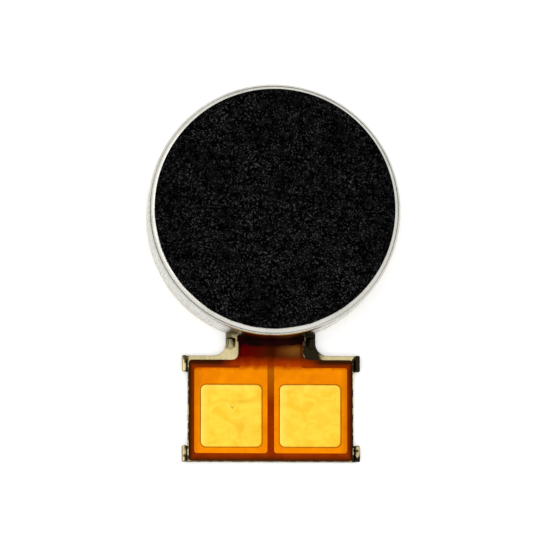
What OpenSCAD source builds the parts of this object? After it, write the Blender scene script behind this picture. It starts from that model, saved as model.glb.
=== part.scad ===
// Flat "coin" vibration motor: a brushed motor with an eccentric rotor in a drawn metal can. The can stands
// on a stamped bracket, whose tail carries a flexible circuit with two bare contact pads.
//
// Millimetres. The origin is the centre of the bracket's underside. +Z points out through the can's top and
// the foam pad on it, and the tail points along -Y.

/* [Can] */
// Outer diameter of the can
case_d = 10; // [9.6:0.1:10.2]
// Height from the bracket's underside to the can's top
motor_h = 3; // [2.8:0.1:3.6]
// Thickness of the sheet metal of the can and the bracket
sheet_t = 0.2; // [0.15:0.01:0.22]
// Radius of the can's rounded rim
rim_r = 0.25; // [0.23:0.01:0.4]
// Thickness of the foam pad
foam_t = 0.3; // [0.2:0.05:0.8]

/* [Tail] */
// Length from the can's far side to the tail's end
overall_l = 14.85; // [14.8:0.05:17]
// Length of the tail plate
tail_l = 4.26; // [4.2:0.02:4.4]
// Width of the tail plate between its ears
tail_w = 6.64; // [6.4:0.02:7.4]
// Width of the neck between the can and the tail
neck_w = 3.6; // [3.4:0.05:3.8]
// Height of the bent-up ears above the bracket's underside
ear_h = 0.5; // [0.4:0.05:0.8]

/* [Circuit] */
// Thickness of one layer of the flexible circuit
layer_t = 0.03; // [0.02:0.005:0.03]
// Width of the circuit where it passes under the can's wall
strip_w = 2.6; // [2.6:0.02:2.7]
// Width of a contact pad
pad_w = 2.42; // [2:0.02:2.5]
// Length of a contact pad
pad_l = 2.47; // [2:0.01:2.7]
// Gap between the two contact pads
pad_gap = 0.74; // [0.6:0.02:0.8]

/* [Rotor] */
// Diameter of the fixed shaft
shaft_d = 0.8; // [0.7:0.05:0.8]
// Outer diameter of a coil
coil_d = 3; // [2.8:0.05:3]
// Angle from the rotor's heavy axis to the middle of each coil
coil_angle = 60; // [56:1:64]
// Half of the angle that the rotor's fan takes up
fan_half_angle = 100; // [98:1:120]

/* [Hidden] */
$fn = 96;

left = -1;
right = 1;
// Solids that are cut away reach this far past the faces that they cut
past = 1;

// Can
case_r = case_d / 2;
case_inner_r = case_r - sheet_t;
ceiling_z = motor_h - sheet_t;
foam_r = case_r - 0.25;
foam_tape_r = min(foam_r, case_r - rim_r) - 0.01;
foam_tape_t = 0.05;

// Bracket: disc, neck and tail
tail_end_y = case_r - overall_l;
tail_start_y = tail_end_y + tail_l;
neck_fillet_r = 0.5;
edge_taper = 0.03;
ear_l = 0.66;
ear_w = 0.25;
bend_r = 0.15;
lip_h = 0.14;
lip_to_tail = 0.14;
lip_to_can = 0.05;
lip_to_slot = 0.02;

// Flexible circuit, layer by layer from the bracket up
film_z = sheet_t + layer_t;
copper_z = film_z + layer_t;
cover_z = copper_z + layer_t;
circuit_top_z = cover_z + layer_t;
circuit_inset = 0.04;
circuit_top_inset = 0.17;
circuit_corner_r = 0.12;
circuit_fillet_r = 0.25;
circuit_disc_r = case_inner_r - 0.4;
circuit_hole_r = 0.92;
copper_gap = 0.29;
copper_border = 0.27;
copper_start_y = tail_start_y - 0.5;
copper_end_y = tail_end_y + 0.36;
copper_corner_r = 0.1;
trace_w = strip_w / 2 - copper_gap / 2 - 0.1;
pad_end_y = tail_end_y + 0.61;
pad_corner_r = 0.2;
pad_recess = 0.01;
slot_w = strip_w + 0.1;
slot_top_z = circuit_top_z + 0.08;
seal_front_y = -case_r - 0.02;
bead_front_y = -case_r - 0.25;
bead_top_z = circuit_top_z + 0.03;

// Shaft, washers and the stack that turns between them
shaft_r = shaft_d / 2;
shaft_recess = 0.02;
running_gap = 0.03;
end_float = 0.02;
sleeve_r = 0.8;
collar_r = 0.75;
collar_top_z = sheet_t + 0.3;
boss_z = ceiling_z - 0.17;
washer_t = 0.08;
bearing_z = collar_top_z + washer_t + 2 * end_float;
bearing_top_z = boss_z - washer_t - 2 * end_float;

// Magnet and rotor
magnet_z = circuit_top_z + layer_t;
magnet_top_z = magnet_z + 0.77;
magnet_inner_r = 2.3;
magnet_outer_r = case_inner_r - 0.45;
board_z = magnet_top_z + 0.15;
board_t = 0.2;
board_top_z = board_z + board_t;
rotor_r = case_inner_r - 0.35;
rotor_rest = 90;
board_hub_r = 2.1;
segment_count = 6;
segment_gap = 0.12;
segment_inner_r = 0.95;
segment_outer_r = 1.85;
segment_t = 0.03;
coil_r = coil_d / 2;
coil_bore_r = 0.5;
coil_reach = rotor_r - 0.15 - coil_r;
coil_top_z = ceiling_z - 0.4;
moulding_top_z = coil_top_z - 0.05;
weight_top_z = ceiling_z - 0.2;
weight_inner_r = 2;
weight_outer_r = rotor_r - 0.05;
weight_half_angle = 38;
weight_to_coil = 0.12;
solder_dot_r = 0.15;
solder_dot_t = 0.06;
solder_ring_r = 2.05;
solder_angles = [-90, -30, 30, 90];

// Brushes: each is a leaf that lies on its foot, rises to a knee under the commutator and dips to its tip
brush_x = 1.15;
brush_w = 0.35;
brush_t = 0.06;
brush_slit_w = 0.06;
brush_slit_start_y = -0.4;
brush_foot_z = circuit_top_z + brush_t / 2;
brush_knee_z = board_z - segment_t - 0.02 - brush_t / 2;
brush_path = [
    [-1.72, brush_foot_z],
    [-1.12, brush_foot_z],
    [1.05, brush_knee_z],
    [1.28, brush_knee_z - 0.1],
];
brush_land = [brush_w + 0.1, 0.5];
brush_land_y = -1.42;

// ---- Shapes that several sub-parts share ----

// Slab of an outline from one height to another
module slab(from_z, to_z) {
    translate([0, 0, from_z])
        linear_extrude(height = to_z - from_z)
            children();
}

// Tube around the Z axis
module tube(outer_r, inner_r, from_z, to_z) {
    slab(from_z, to_z)
        difference() {
            circle(r = outer_r);
            circle(r = inner_r);
        }
}

// What is drawn for the right side, mirrored when the left side is asked for
module on_side(side) {
    if (side == left)
        mirror([1, 0, 0]) children();
    else
        children();
}

// Rectangle with round corners, given by two opposite corners
module rounded_rectangle(from, to, r) {
    size = to - from;
    translate(from + [r, 0]) square([size.x - 2 * r, size.y]);
    translate(from + [0, r]) square([size.x, size.y - 2 * r]);
    for (x = [from.x + r, to.x - r], y = [from.y + r, to.y - r])
        translate([x, y]) circle(r = r);
}

// Triangle with its tip on the axis, opening toward +X past radius r
module wedge(half_angle, r) {
    polygon([[0, 0], [r, -r * tan(half_angle)], [r, r * tan(half_angle)]]);
}

// Rectangle from the origin whose upper outer corner is rounded
module drawn_profile(w, h, corner_r) {
    intersection() {
        square([w, h]);
        union() {
            square([w - corner_r, h]);
            square([w, h - corner_r]);
            translate([w - corner_r, h - corner_r]) circle(r = corner_r);
        }
    }
}

// Lip along Y whose outer lower edge is rounded by the bend; it stands outside x = 0, from y = 0 to length
module bent_lip(w, length, height) {
    translate([0, length, 0])
        rotate([90, 0, 0])
            linear_extrude(height = length) {
                square([w - bend_r, height]);
                translate([0, bend_r]) square([w, height - bend_r]);
                translate([w - bend_r, bend_r]) circle(r = bend_r);
            }
}

// ---- Can and foam ----

// Bottomless can with a rounded rim, a hollow boss that holds the shaft's end and a slot for the circuit
module case() {
    color("gainsboro")
        difference() {
            union() {
                difference() {
                    translate([0, 0, sheet_t])
                        rotate_extrude()
                            drawn_profile(case_r, motor_h - sheet_t, rim_r);
                    translate([0, 0, sheet_t])
                        rotate_extrude()
                            drawn_profile(case_inner_r, ceiling_z - sheet_t, rim_r - sheet_t);
                }
                tube(collar_r, shaft_r, boss_z, ceiling_z);
            }
            translate([-slot_w / 2, -case_r - past, sheet_t - past])
                cube([slot_w, sheet_t + 2 * past, slot_top_z - sheet_t + past]);
        }
}

// Double-sided tape under the foam
module foam_adhesive() {
    color("ivory")
        slab(motor_h, motor_h + foam_tape_t) circle(r = foam_tape_r);
}

// Cushion that presses the motor against its housing
module foam_pad() {
    color([0.05, 0.05, 0.05])
        slab(motor_h + foam_tape_t, motor_h + foam_tape_t + foam_t) circle(r = foam_r);
}

// ---- Bracket and shaft ----

// Fillet in the concave corner right of the origin, with one leg along +X and the other along +Y
module fillet(r) {
    difference() {
        square(r);
        translate([r, r]) circle(r = r);
    }
}

// Outline of the stamped plate beyond its disc: neck, tail and the fillets between them
module tail_outline() {
    translate([-neck_w / 2, tail_start_y]) square([neck_w, -tail_start_y]);
    translate([-tail_w / 2, tail_end_y]) square([tail_w, tail_l]);
    for (side = [left, right])
        on_side(side)
            translate([neck_w / 2, tail_start_y]) fillet(neck_fillet_r);
}

// Stamped steel plate with a drawn collar for the shaft, lips along the neck and ears on the tail's corners.
// The punched edge of its disc tapers a little toward the underside.
module bracket() {
    color("silver")
        difference() {
            union() {
                cylinder(r1 = case_r - edge_taper, r2 = case_r, h = sheet_t);
                slab(0, sheet_t) tail_outline();
                cylinder(r = collar_r, h = collar_top_z);
                for (side = [left, right])
                    on_side(side) {
                        neck_lip();
                        for (y = [tail_end_y, tail_start_y - ear_l])
                            translate([tail_w / 2, y, 0]) bent_lip(ear_w, ear_l, ear_h);
                    }
            }
            cylinder(r = shaft_r, h = 2 * past + collar_top_z, center = true);
        }
}

// Ridge pressed up along the right edge of the neck, from just clear of the can's wall to the tail
module neck_lip() {
    lip_x = slot_w / 2 + lip_to_slot;
    start_y = -sqrt(pow(case_r, 2) - pow(lip_x, 2)) - lip_to_can;
    end_y = tail_start_y + lip_to_tail;
    slab(sheet_t, sheet_t + lip_h)
        intersection() {
            tail_outline();
            translate([lip_x, end_y]) square([tail_w / 2, start_y - end_y]);
        }
}

// Fixed shaft, pressed into the bracket's collar and the can's boss, with its end just inside the underside
module shaft() {
    color("lightgrey") slab(shaft_recess, ceiling_z) circle(r = shaft_r);
}

// ---- Flexible circuit ----

// Outline of the circuit: disc in the can, strip through the slot, the tail's rectangle and their fillets
module circuit_outline() {
    difference() {
        circle(r = circuit_disc_r);
        circle(r = circuit_hole_r);
    }
    translate([-strip_w / 2, tail_start_y - 1])
        square([strip_w, -tail_start_y + 1 - circuit_hole_r - 0.2]);
    rounded_rectangle(
        [-tail_w / 2 + circuit_inset, tail_end_y + circuit_inset],
        [tail_w / 2 - circuit_inset, tail_start_y - circuit_top_inset],
        circuit_corner_r
    );
    for (side = [left, right])
        on_side(side)
            translate([strip_w / 2, tail_start_y - circuit_top_inset]) fillet(circuit_fillet_r);
}

// Outline of the right conductor: area on the tail, trace along the strip and the brush's land
module copper_outline() {
    rounded_rectangle(
        [copper_gap / 2, copper_end_y],
        [tail_w / 2 - copper_border, copper_start_y],
        copper_corner_r
    );
    translate([copper_gap / 2, copper_end_y + 1])
        square([trace_w, brush_land_y - copper_end_y - 1]);
    brush_land_outline();
}

// Bare land under the right brush's foot
module brush_land_outline() {
    translate([brush_x, brush_land_y]) square(brush_land, center = true);
}

// Bare area of the right contact pad
module pad_outline() {
    rounded_rectangle(
        [pad_gap / 2, pad_end_y],
        [pad_gap / 2 + pad_w, pad_end_y + pad_l],
        pad_corner_r
    );
}

// Tape between the bracket and the circuit
module fpc_adhesive() {
    color("khaki") slab(sheet_t, film_z) circuit_outline();
}

// Polyimide base of the circuit
module fpc_base_film() {
    color("sienna") slab(film_z, copper_z) circuit_outline();
}

// One conductor, between the base film and the coverlay
module copper(side) {
    color("darkorange")
        on_side(side)
            slab(copper_z, cover_z) copper_outline();
}

module copper_left() {
    copper(left);
}

module copper_right() {
    copper(right);
}

// Polyimide cover film, pressed down around the conductors and open over the pads and the brushes' lands
module fpc_coverlay() {
    color("saddlebrown")
        difference() {
            slab(copper_z, circuit_top_z) circuit_outline();
            for (side = [left, right])
                on_side(side) {
                    slab(copper_z - past, cover_z) copper_outline();
                    slab(copper_z, circuit_top_z + past) {
                        pad_outline();
                        brush_land_outline();
                    }
                }
        }
}

// Gold plating on one conductor, a little below the coverlay's face
module contact_pad(side) {
    color("gold")
        on_side(side)
            slab(cover_z, circuit_top_z - pad_recess) pad_outline();
}

module contact_pad_left() {
    contact_pad(left);
}

module contact_pad_right() {
    contact_pad(right);
}

// Block that stands on the plate and reaches from its front face to inside the can's wall
module seal_block(w, front_y, top_z) {
    translate([-w / 2, front_y, sheet_t]) cube([w, past, top_z - sheet_t]);
}

// Resin that closes the can's slot around the circuit and runs out onto it as a low bead
module slot_seal() {
    color([0.15, 0.06, 0.03])
        difference() {
            union() {
                seal_block(slot_w, seal_front_y, slot_top_z);
                seal_block(strip_w, bead_front_y, bead_top_z);
            }
            cylinder(r = case_inner_r, h = 2 * slot_top_z);
            translate([-strip_w / 2, -case_r - 2 * past, sheet_t - past])
                cube([strip_w, 3 * past, circuit_top_z - sheet_t + past]);
        }
}

// ---- Stator ----

// Bond between the circuit and the magnet
module magnet_adhesive() {
    color("tan") tube(magnet_outer_r, magnet_inner_r, circuit_top_z, magnet_z);
}

// Ring magnet, magnetised through its thickness in alternating poles
module ring_magnet() {
    color("dimgrey") tube(magnet_outer_r, magnet_inner_r, magnet_z, magnet_top_z);
}

// Leaf of one brush, forked from its ramp to its tip
module brush(side) {
    upper = [for (point = brush_path) point + [0, brush_t / 2]];
    lower = [for (i = [len(brush_path) - 1:-1:0]) brush_path[i] - [0, brush_t / 2]];
    tip_y = brush_path[len(brush_path) - 1].x;
    color("goldenrod")
        on_side(side)
            difference() {
                translate([brush_x - brush_w / 2, 0, 0])
                    rotate([90, 0, 90])
                        linear_extrude(height = brush_w)
                            polygon(concat(upper, lower));
                translate([brush_x - brush_slit_w / 2, brush_slit_start_y, 0])
                    cube([brush_slit_w, tip_y - brush_slit_start_y + past, board_z]);
            }
}

module brush_left() {
    brush(left);
}

module brush_right() {
    brush(right);
}

// Solder between each brush's foot and its land
module brush_solder() {
    color("whitesmoke")
        for (side = [left, right])
            on_side(side)
                slab(cover_z, circuit_top_z) brush_land_outline();
}

// ---- Rotor ----

// Thrust washer, loose on the shaft
module washer(from_z) {
    tube(sleeve_r, shaft_r + running_gap, from_z, from_z + washer_t);
}

module lower_washer() {
    color("white") washer(collar_top_z + end_float);
}

module upper_washer() {
    color("white") washer(boss_z - end_float - washer_t);
}

// What is drawn with the rotor's heavy axis along +X, turned to its rest angle
module on_rotor() {
    rotate([0, 0, rotor_rest]) children();
}

// Sintered sleeve that runs on the shaft
module rotor_bearing() {
    color("peru") tube(sleeve_r, shaft_r + running_gap, bearing_z, bearing_top_z);
}

// Outline of the rotor's fan
module fan_outline(r) {
    difference() {
        circle(r = r);
        rotate(180) wedge(180 - fan_half_angle, 2 * r);
    }
}

// Circuit board that carries the commutator below and the coils above
module rotor_board() {
    color("darkgreen")
        on_rotor()
            slab(board_z, board_top_z)
                difference() {
                    union() {
                        circle(r = board_hub_r);
                        fan_outline(rotor_r);
                    }
                    circle(r = sleeve_r);
                }
}

// Ring of copper segments on the board's underside
module commutator() {
    color("gold")
        on_rotor()
            slab(board_z - segment_t, board_z)
                difference() {
                    circle(r = segment_outer_r);
                    circle(r = segment_inner_r);
                    for (i = [0:segment_count / 2 - 1])
                        rotate(i * 360 / segment_count)
                            square([4 * segment_outer_r, segment_gap], center = true);
                }
}

// Solder dots where the coils' wires join the board
module coil_solder() {
    color("whitesmoke")
        on_rotor()
            for (angle = solder_angles)
                rotate([0, 0, angle])
                    translate([solder_ring_r, 0, board_z - solder_dot_t])
                        cylinder(r = solder_dot_r, h = solder_dot_t);
}

// Places its child at the middle of one coil
module at_coil(side) {
    rotate(side * coil_angle) translate([coil_reach, 0]) children();
}

// Round coil of enamelled wire, wound without a core
module coil(side) {
    color("chocolate")
        on_rotor()
            slab(board_top_z, coil_top_z)
                at_coil(side)
                    difference() {
                        circle(r = coil_r);
                        circle(r = coil_bore_r);
                    }
}

// The rotor rests with its heavy axis along +Y, so its positive turn leads to the motor's left
module coil_left() {
    coil(right);
}

module coil_right() {
    coil(left);
}

// Outline of the eccentric weight, hollowed where the coils pass it
module weight_outline() {
    difference() {
        intersection() {
            circle(r = weight_outer_r);
            wedge(weight_half_angle, 2 * weight_outer_r);
        }
        circle(r = weight_inner_r);
        for (side = [left, right])
            at_coil(side) circle(r = coil_r + weight_to_coil);
    }
}

// Tungsten-alloy weight between the coils
module counterweight() {
    color("slategrey")
        on_rotor()
            slab(board_top_z, weight_top_z) weight_outline();
}

// Resin that holds the bearing, the coils and the weight on the board
module rotor_moulding() {
    color([0.2, 0.2, 0.22])
        on_rotor()
            slab(board_top_z, moulding_top_z)
                difference() {
                    fan_outline(rotor_r);
                    circle(r = sleeve_r);
                    weight_outline();
                    for (side = [left, right])
                        at_coil(side)
                            difference() {
                                circle(r = coil_r);
                                circle(r = coil_bore_r);
                            }
                }
}

case();
bracket();
shaft();
fpc_adhesive();
fpc_base_film();
copper_left();
copper_right();
fpc_coverlay();
contact_pad_left();
contact_pad_right();
slot_seal();
magnet_adhesive();
ring_magnet();
brush_solder();
brush_left();
brush_right();
lower_washer();
upper_washer();
rotor_bearing();
rotor_board();
commutator();
coil_solder();
coil_left();
coil_right();
counterweight();
rotor_moulding();
foam_adhesive();
foam_pad();
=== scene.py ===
"""Looks of a flat vibration motor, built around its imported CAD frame.

Everything is drawn in millimetres, in the frame of the CAD model, and becomes metres when a piece is made.
"""

import math

import bmesh
import bpy
from mathutils import Matrix, Vector, noise

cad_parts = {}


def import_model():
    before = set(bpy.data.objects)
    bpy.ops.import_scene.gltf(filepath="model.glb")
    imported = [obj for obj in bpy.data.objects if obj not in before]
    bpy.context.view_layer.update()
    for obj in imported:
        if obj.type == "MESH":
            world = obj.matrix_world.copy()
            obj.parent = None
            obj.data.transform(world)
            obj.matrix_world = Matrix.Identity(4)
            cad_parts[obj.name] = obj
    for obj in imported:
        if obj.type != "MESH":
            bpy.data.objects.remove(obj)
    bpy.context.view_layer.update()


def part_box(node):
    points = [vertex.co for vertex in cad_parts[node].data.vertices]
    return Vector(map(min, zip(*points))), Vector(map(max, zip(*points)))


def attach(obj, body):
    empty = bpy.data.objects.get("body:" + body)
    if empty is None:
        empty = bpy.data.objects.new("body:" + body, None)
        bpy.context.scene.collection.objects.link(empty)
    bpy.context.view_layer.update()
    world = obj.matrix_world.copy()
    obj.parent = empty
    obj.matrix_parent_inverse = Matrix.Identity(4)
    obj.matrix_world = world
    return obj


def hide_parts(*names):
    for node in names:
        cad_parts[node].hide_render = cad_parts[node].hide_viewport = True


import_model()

MM = 0.001
ROUND_STEPS = 192
LEFT, RIGHT = -1, 1


def extent(node):
    """Lowest and highest corner of a CAD node, in millimetres."""
    low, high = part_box(node)
    return low / MM, high / MM


# ---- Sizes: what the frame's boxes give ----

case_low, case_high = extent("case")
case_r = case_high.x
case_top = case_high.z
sheet_t = extent("fpc_adhesive")[0].z
case_inner_r = case_r - sheet_t
ceiling_z = case_top - sheet_t
copper_low, copper_high = extent("copper_right")
cover_high = extent("fpc_coverlay")[1]
tail_end_y = extent("bracket")[0].y
shaft_r = extent("shaft")[1].x

# ---- Sizes that lie inside those boxes ----

RIM_R = 0.25
BOSS_R = 0.75
BOSS_H = 0.17
TAIL_L = 4.26
TAIL_W = 6.64
NECK_W = 3.6
NECK_FILLET_R = 0.5
STRIP_W = 2.6
SLOT_W = 2.7
SLOT_TOP_Z = 0.4
CIRCUIT_DISC_R = 4.4
CIRCUIT_HOLE_R = 0.92
CIRCUIT_INSET = 0.04
CIRCUIT_TOP_INSET = 0.17
CIRCUIT_CORNER_R = 0.12
CIRCUIT_FILLET_R = 0.25
COPPER_CORNER_R = 0.1
COPPER_TOP_TO_TAIL = 0.5
TRACE_OUTER_X = 1.2
LAND_W, LAND_L = 0.45, 0.5
PAD_CORNER_R = 0.2
COLLAR_R = 0.75
EAR_L = 0.66
BEND_INNER_R = 0.05
EAR_SET_BACK = 0.004
LIP_H = 0.14
LIP_TO_TAIL = 0.14
MAGNET_INNER_R = 2.3
BOARD_HUB_R = 2.1
FAN_HALF_ANGLE = 100
HEAVY_ANGLE = 90
COIL_ANGLE = 60
COIL_REACH = 2.8
COIL_R = 1.5
COIL_BORE_R = 0.5
WEIGHT_INNER_R = 2
WEIGHT_OUTER_R = 4.4
WEIGHT_HALF_ANGLE = 38
WEIGHT_TO_COIL = 0.12
RUNNING_GAP = 0.03
SEGMENTS = 6
SEGMENT_GAP = 0.12
SEGMENT_INNER_R = 0.95
SOLDER_RING_R = 2.05
SOLDER_DOT_R = 0.15
SOLDER_ANGLES = (-90, -30, 30, 90)
BRUSH_SLIT_W = 0.06
BRUSH_SLIT_START_Y = -0.4

tail_start_y = tail_end_y + TAIL_L
copper_start_y = tail_start_y - COPPER_TOP_TO_TAIL


# ---- Outlines: closed loops of points, counter-clockwise ----


def rounded_loop(corners, steps=6):
    """Closed loop through (x, y, radius) corners, each rounded by its radius."""
    loop = []
    for i, (x, y, r) in enumerate(corners):
        corner = Vector((x, y))
        if r == 0:
            loop.append(corner)
            continue
        to_last = (Vector(corners[i - 1][:2]) - corner).normalized()
        to_next = (Vector(corners[(i + 1) % len(corners)][:2]) - corner).normalized()
        half = to_last.angle(to_next) / 2
        centre = corner + (to_last + to_next).normalized() * (r / math.sin(half))
        first = corner + to_last * (r / math.tan(half)) - centre
        last = corner + to_next * (r / math.tan(half)) - centre
        start = math.atan2(first.y, first.x)
        turn = (math.atan2(last.y, last.x) - start + math.pi) % math.tau - math.pi
        for k in range(steps + 1):
            angle = start + turn * k / steps
            loop.append(centre + r * Vector((math.cos(angle), math.sin(angle))))
    return loop


def arc(r, start, end, steps=ROUND_STEPS, centre=(0, 0)):
    """Points on an arc between two angles in degrees."""
    angles = [math.radians(start + (end - start) * k / steps) for k in range(steps + 1)]
    return [Vector((centre[0] + r * math.cos(a), centre[1] + r * math.sin(a))) for a in angles]


def circle(r, centre=(0, 0), steps=ROUND_STEPS):
    return arc(r, 0, 360, steps, centre)[:-1]


def rectangle(low_x, low_y, high_x, high_y, r=0, steps=6):
    corners = [(low_x, low_y, r), (high_x, low_y, r), (high_x, high_y, r), (low_x, high_y, r)]
    return rounded_loop(corners, steps)


def offset(loop, distance):
    """The loop moved outward by a distance, or inward when it is negative."""
    moved = []
    for i, point in enumerate(loop):
        before = (point - loop[i - 1]).normalized()
        after = (loop[(i + 1) % len(loop)] - point).normalized()
        normals = [Vector((way.y, -way.x)) for way in (before, after)]
        middle = (normals[0] + normals[1]).normalized()
        moved.append(point + middle * (distance / max(middle.dot(normals[0]), 0.5)))
    return moved


def mirrored(loop):
    """The loop on the other side of the YZ plane."""
    return [Vector((-point.x, point.y)) for point in reversed(loop)]


def turned(loop, angle):
    return [point @ Matrix.Rotation(-math.radians(angle), 2) for point in loop]


# ---- Mesh building ----


def ring(bm, loop, z):
    return [bm.verts.new((point.x, point.y, z)) for point in loop]


def bridge(bm, lower, upper, material=0):
    """Faces between two closed rings of vertices, one of which may be a single point."""
    count = max(len(lower), len(upper))
    for i in range(count):
        j = (i + 1) % count
        if len(lower) == 1:
            corners = (lower[0], upper[j], upper[i])
        elif len(upper) == 1:
            corners = (lower[i], lower[j], upper[0])
        else:
            corners = (lower[i], lower[j], upper[j], upper[i])
        bm.faces.new(corners).material_index = material


def stack(bm, rings, material=0):
    for lower, upper in zip(rings, rings[1:]):
        bridge(bm, lower, upper, material)


def fill(bm, rings, material=0):
    """Flat face inside the first ring and outside the others."""
    edges = []
    for points in rings:
        for i, point in enumerate(points):
            pair = (points[i - 1], point)
            edges.append(bm.edges.get(pair) or bm.edges.new(pair))
    made = bmesh.ops.triangle_fill(bm, edges=edges, use_beauty=True)
    for face in made["geom"]:
        if isinstance(face, bmesh.types.BMFace):
            face.material_index = material


def capped(bm, rings):
    """Solid through rings of vertices, with a flat face at both ends."""
    stack(bm, rings)
    fill(bm, rings[:1])
    fill(bm, rings[-1:])


def lathe(bm, profile, steps=ROUND_STEPS, centre=(0, 0)):
    """Solid of revolution of a closed (r, z) profile."""
    rings = []
    for r, z in profile:
        if r < 1e-6:
            rings.append([bm.verts.new((*centre, z))])
        else:
            rings.append(ring(bm, circle(r, centre, steps), z))
    for lower, upper in zip(rings, rings[1:] + rings[:1]):
        if len(lower) > 1 or len(upper) > 1:
            bridge(bm, lower, upper)


def plate(bm, outer, holes, low, high, edge, steps=3):
    """Solid between two heights, with its edges rounded by a radius along every outline."""
    bottoms, tops = [], []
    for loop, outward in [(outer, 1)] + [(hole, -1) for hole in holes]:
        rings = []
        for k in range(2 * steps + 2):
            angle = math.radians(90 * (k if k <= steps else k - 1) / steps)
            inset = edge * (1 - abs(math.sin(angle)))
            lift = edge * (1 - math.cos(angle))
            z = low + lift if k <= steps else high - edge * (1 + math.cos(angle))
            rings.append(ring(bm, offset(loop, -outward * inset), z))
        stack(bm, rings)
        bottoms.append(rings[0])
        tops.append(rings[-1])
    fill(bm, bottoms)
    fill(bm, tops)


def extruded_y(bm, profile, low_y, high_y, edge):
    """Solid of a closed (x, z) profile along Y, with its ends' edges rounded."""
    rings = []
    for y, inset in ((low_y, edge), (low_y + edge, 0), (high_y - edge, 0), (high_y, edge)):
        loop = offset(profile, -inset)
        rings.append([bm.verts.new((point.x, y, point.y)) for point in loop])
    capped(bm, rings)


def rounded_grid(w, l, corner_r, step):
    """Rows of points that fill a rounded rectangle, with each point's distance from the edge."""
    columns = max(2, round(w / step))
    rows = max(2, round(l / step))
    flat_x = w / 2 - corner_r
    flat_y = l / 2 - corner_r
    points = []
    for j in range(rows + 1):
        row = []
        for i in range(columns + 1):
            x = w * (i / columns - 0.5)
            y = l * (j / rows - 0.5)
            past_x = max(abs(x) - flat_x, 0)
            past_y = max(abs(y) - flat_y, 0)
            depth = min(w / 2 - abs(x), l / 2 - abs(y))
            if past_x > 0 and past_y > 0:
                shrink = max(past_x, past_y) / math.hypot(past_x, past_y)
                x = math.copysign(flat_x + past_x * shrink, x)
                y = math.copysign(flat_y + past_y * shrink, y)
            row.append((x, y, depth))
        points.append(row)
    return points


def grid_pad(bm, grid, centre, low, height, side_levels, push):
    """Solid whose top follows a grid.

    height(x, y, depth) gives the top, and push(x, y, z) moves a point of the sides.
    """
    top = [
        [bm.verts.new((centre[0] + x, centre[1] + y, height(x, y, depth))) for x, y, depth in row]
        for row in grid
    ]
    for j in range(len(top) - 1):
        for i in range(len(top[0]) - 1):
            bm.faces.new((top[j][i], top[j][i + 1], top[j + 1][i + 1], top[j + 1][i]))
    border = [*top[0][:-1], *(row[-1] for row in top[:-1])]
    border += [*top[-1][:0:-1], *(row[0] for row in top[:0:-1])]
    rings = [border]
    for share in side_levels:
        level = []
        for vertex in border:
            z = vertex.co.z + (low - vertex.co.z) * share
            x, y = push(vertex.co.x, vertex.co.y, z)
            level.append(bm.verts.new((x, y, z)))
        rings.append(level)
    stack(bm, rings)
    fill(bm, rings[-1:])


def upright(x, y, z):
    """Leaves a point of a side where it is."""
    return x, y


def mesh_of(name, bm):
    """Mesh of a solid, which is used up."""
    mesh = bpy.data.meshes.new(name)
    bm.to_mesh(mesh)
    bm.free()
    return mesh


def scene_object(name, data):
    made = bpy.data.objects.new(name, data)
    bpy.context.scene.collection.objects.link(made)
    return made


def boolean(first, second, operation):
    """The first solid united with the second, or cut by it. Both meshes are used up."""
    objects = []
    for bm in (first, second):
        bmesh.ops.recalc_face_normals(bm, faces=bm.faces)
        objects.append(scene_object("part", mesh_of("part", bm)))
    modifier = objects[0].modifiers.new("boolean", "BOOLEAN")
    modifier.object = objects[1]
    modifier.operation = operation
    modifier.solver = "EXACT"
    result = bmesh.new()
    result.from_object(objects[0], bpy.context.evaluated_depsgraph_get())
    for part in objects:
        bpy.data.meshes.remove(part.data)
    return result


def tidied(bm):
    """The solid without the doubled points and needless edges that a boolean leaves."""
    bmesh.ops.remove_doubles(bm, verts=bm.verts, dist=1e-4)
    bmesh.ops.dissolve_limit(bm, angle_limit=0.01, verts=bm.verts, edges=bm.edges)
    return bm


def box_solid(low, high):
    bm = bmesh.new()
    bmesh.ops.create_cube(bm, size=1)
    for vertex in bm.verts:
        vertex.co = [l + (h - l) * (c + 0.5) for l, h, c in zip(low, high, vertex.co)]
    return bm


def piece(name, bm, look_names, node, body="stator", sharp=35):
    """Turns a mesh in millimetres into a piece that stands for a CAD node and moves with its body."""
    bmesh.ops.recalc_face_normals(bm, faces=bm.faces)
    mesh = mesh_of(name, bm)
    mesh.transform(Matrix.Scale(MM, 4))
    mesh.shade_smooth()
    mesh.set_sharp_from_angle(angle=math.radians(sharp))
    for look_name in look_names:
        mesh.materials.append(looks[look_name])
    made = scene_object(name, mesh)
    weights = made.modifiers.new("weighted normals", "WEIGHTED_NORMAL")
    weights.keep_sharp = True
    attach(made, body)
    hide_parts(node)
    return made


# ---- Materials ----


class Nodes:
    """A node tree under construction."""

    def __init__(self, tree):
        self.tree = tree

    def new(self, kind, **settings):
        node = self.tree.nodes.new(kind)
        for setting, value in settings.items():
            setattr(node, setting, value)
        return node

    def feed(self, socket, value):
        """Links an output to a socket, or sets the socket to a plain value."""
        if isinstance(value, bpy.types.NodeSocket):
            self.tree.links.new(value, socket)
        else:
            socket.default_value = value

    def remap(self, value, low, high, to_low=0.0, to_high=1.0, shape="LINEAR"):
        node = self.new("ShaderNodeMapRange", interpolation_type=shape)
        sockets = {"Value": value, "From Min": low, "From Max": high, "To Min": to_low, "To Max": to_high}
        for name, setting in sockets.items():
            self.feed(node.inputs[name], setting)
        return node.outputs["Result"]

    def maths(self, operation, a, b=0.5):
        node = self.new("ShaderNodeMath", operation=operation)
        self.feed(node.inputs[0], a)
        self.feed(node.inputs[1], b)
        return node.outputs["Value"]


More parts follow.
